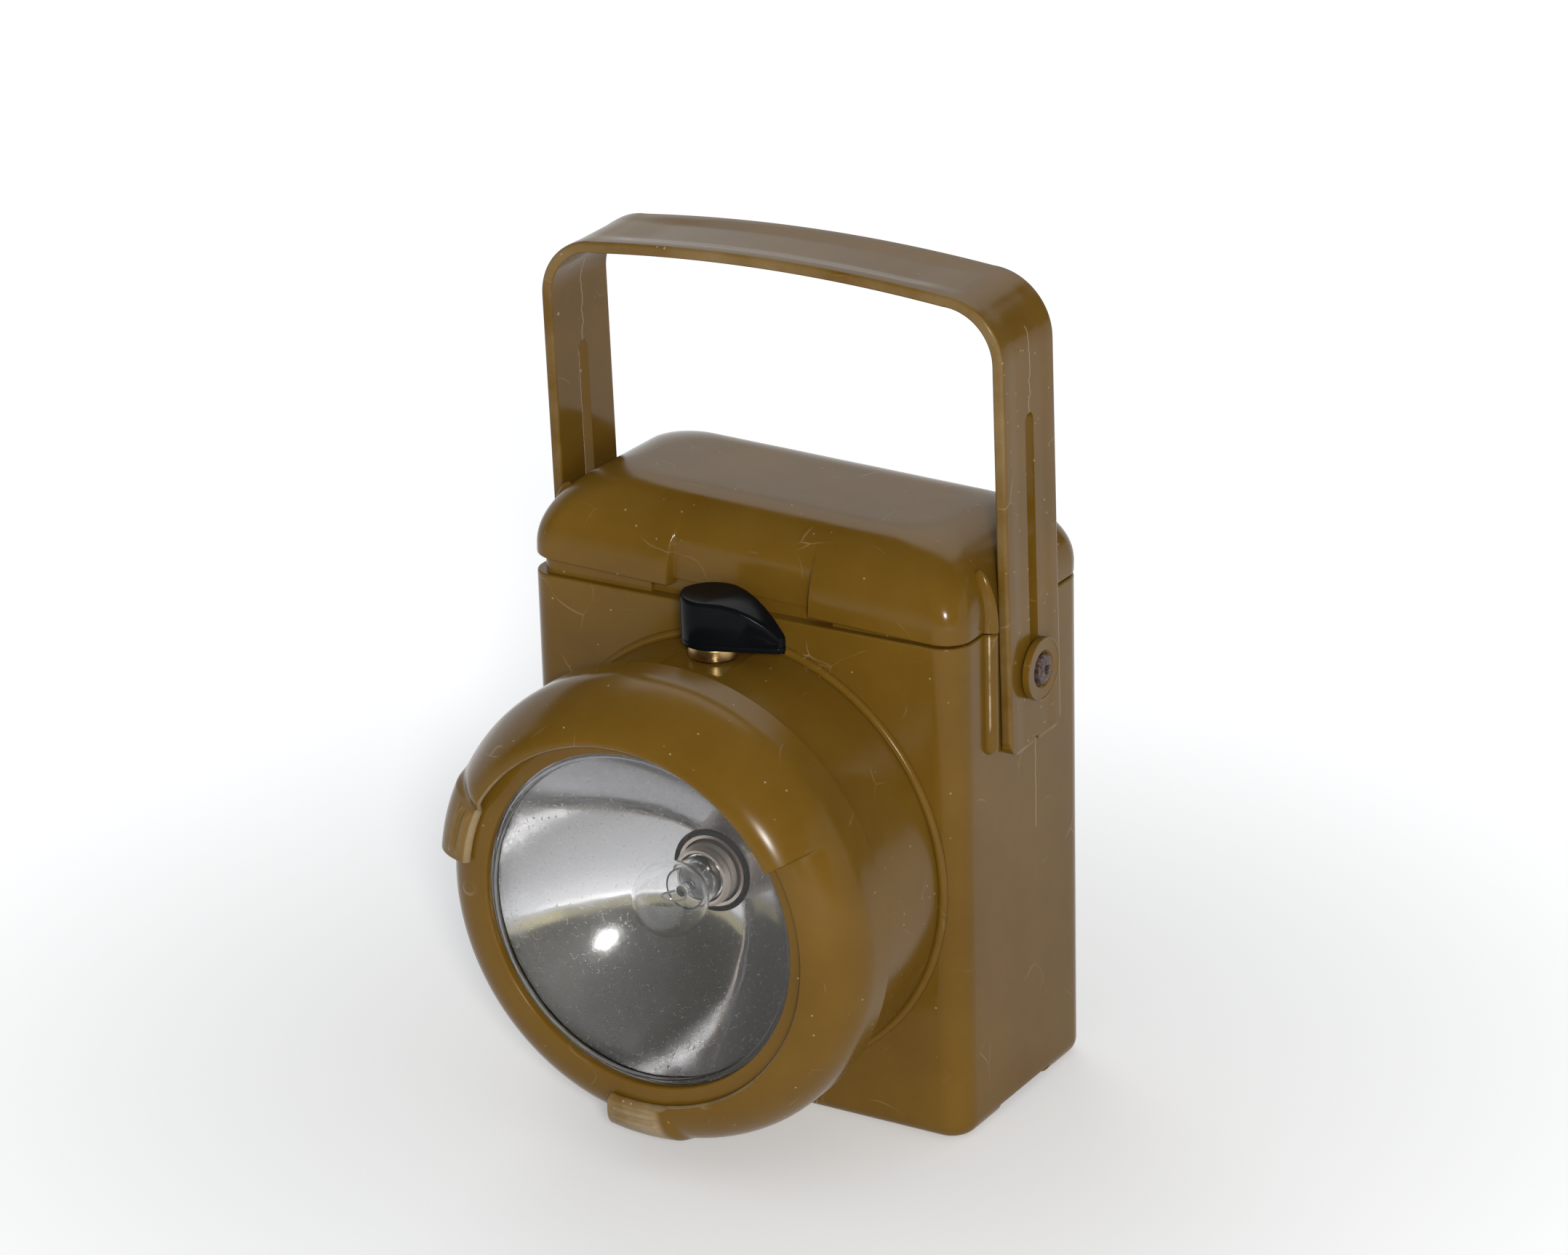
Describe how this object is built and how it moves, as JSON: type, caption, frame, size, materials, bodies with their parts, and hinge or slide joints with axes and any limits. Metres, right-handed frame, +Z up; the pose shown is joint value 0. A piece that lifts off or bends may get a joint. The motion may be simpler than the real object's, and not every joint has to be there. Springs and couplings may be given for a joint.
{
  "type": "hand lamp",
  "caption": "Boxy hand lamp with a round front lens head, a turning shade, a rotary switch, a slip-on lid and a sliding strap handle.",
  "frame": {"origin": "bottom centre of the whole lamp, on the surface it stands on", "axes": "+Z up, the lens looks along -Y, +X is the right-hand side as seen from the front"},
  "size_m": [0.0854, 0.0752, 0.1338],
  "materials": {
    "olive_plastic": "glossy moulded plastic with fine dust and scratches",
    "black_plastic": "glossy",
    "brass": "turned and pressed, lightly tarnished",
    "steel": "plated",
    "rusty_steel": "rusted screw head",
    "mirror": "vacuum-coated reflector",
    "clear_plastic": "clear window",
    "bulb_clear_glass": "clear bulb glass",
    "rubber": "matt",
    "insulating_board": "laminated insulating board",
    "cell_jacket": "lacquered can with a plain band",
    "wire_insulation": "flexible wire insulation"
  },
  "bodies": {
    "case": {"case_body": "olive_plastic", "handle_disc_left": "olive_plastic", "handle_disc_right": "olive_plastic", "bezel_ring": "olive_plastic", "bulb_insulator": "black_plastic", "switch_bush": "brass", "switch_nut": "brass", "switch_leaf": "brass", "leaf_rivet": "brass", "lamp_socket": "brass", "centre_contact": "brass", "socket_rivet_left": "brass", "socket_rivet_right": "brass", "bulb_cap": "brass", "bridge_strip": "brass", "contact_left": "brass", "contact_right": "brass", "board_rivet_left": "brass", "board_rivet_right": "brass", "handle_nut_left": "steel", "handle_nut_right": "steel", "spring_left": "steel", "spring_right": "steel", "cell_cap_left": "steel", "cell_cap_right": "steel", "board_screw_1": "steel", "board_screw_2": "steel", "board_screw_3": "steel", "board_screw_4": "steel", "bulb_tip": "steel", "bulb_filament": "steel", "handle_screw_left": "rusty_steel", "handle_screw_right": "rusty_steel", "reflector": "mirror", "lens": "clear_plastic", "bulb_glass": "bulb_clear_glass", "bulb_stem": "bulb_clear_glass", "lens_gasket": "rubber", "contact_board": "insulating_board", "socket_plate": "insulating_board", "cell_left": "cell_jacket", "cell_right": "cell_jacket", "wire_lamp": "wire_insulation", "wire_switch": "wire_insulation"},
    "handle": {"handle": "olive_plastic"},
    "lid": {"lid": "olive_plastic", "lid_fin_left": "olive_plastic", "lid_fin_right": "olive_plastic"},
    "switch": {"switch_knob": "black_plastic", "switch_shaft": "brass", "switch_cam": "insulating_board"},
    "hood": {"hood_shade": "olive_plastic"}
  },
  "joints": [
    {"name": "handle_slide", "type": "slide", "parent": "case", "child": "handle", "axis": [0, -0.0279, 0.9996], "range_m": [-0.033, 0]},
    {"name": "lid_lift", "type": "slide", "parent": "case", "child": "lid", "axis": [0, 0, 1], "range_m": [0, 0.024]},
    {"name": "switch_turn", "type": "hinge", "parent": "case", "child": "switch", "pos_m": [0, -0.00892, 0.08], "axis": [0, 0, 1], "range_deg": [-180, 0]},
    {"name": "hood_turn", "type": "hinge", "parent": "case", "child": "hood", "pos_m": [0, -0.02742, 0.0419], "axis": [0, -1, 0], "continuous": true}
  ]
}
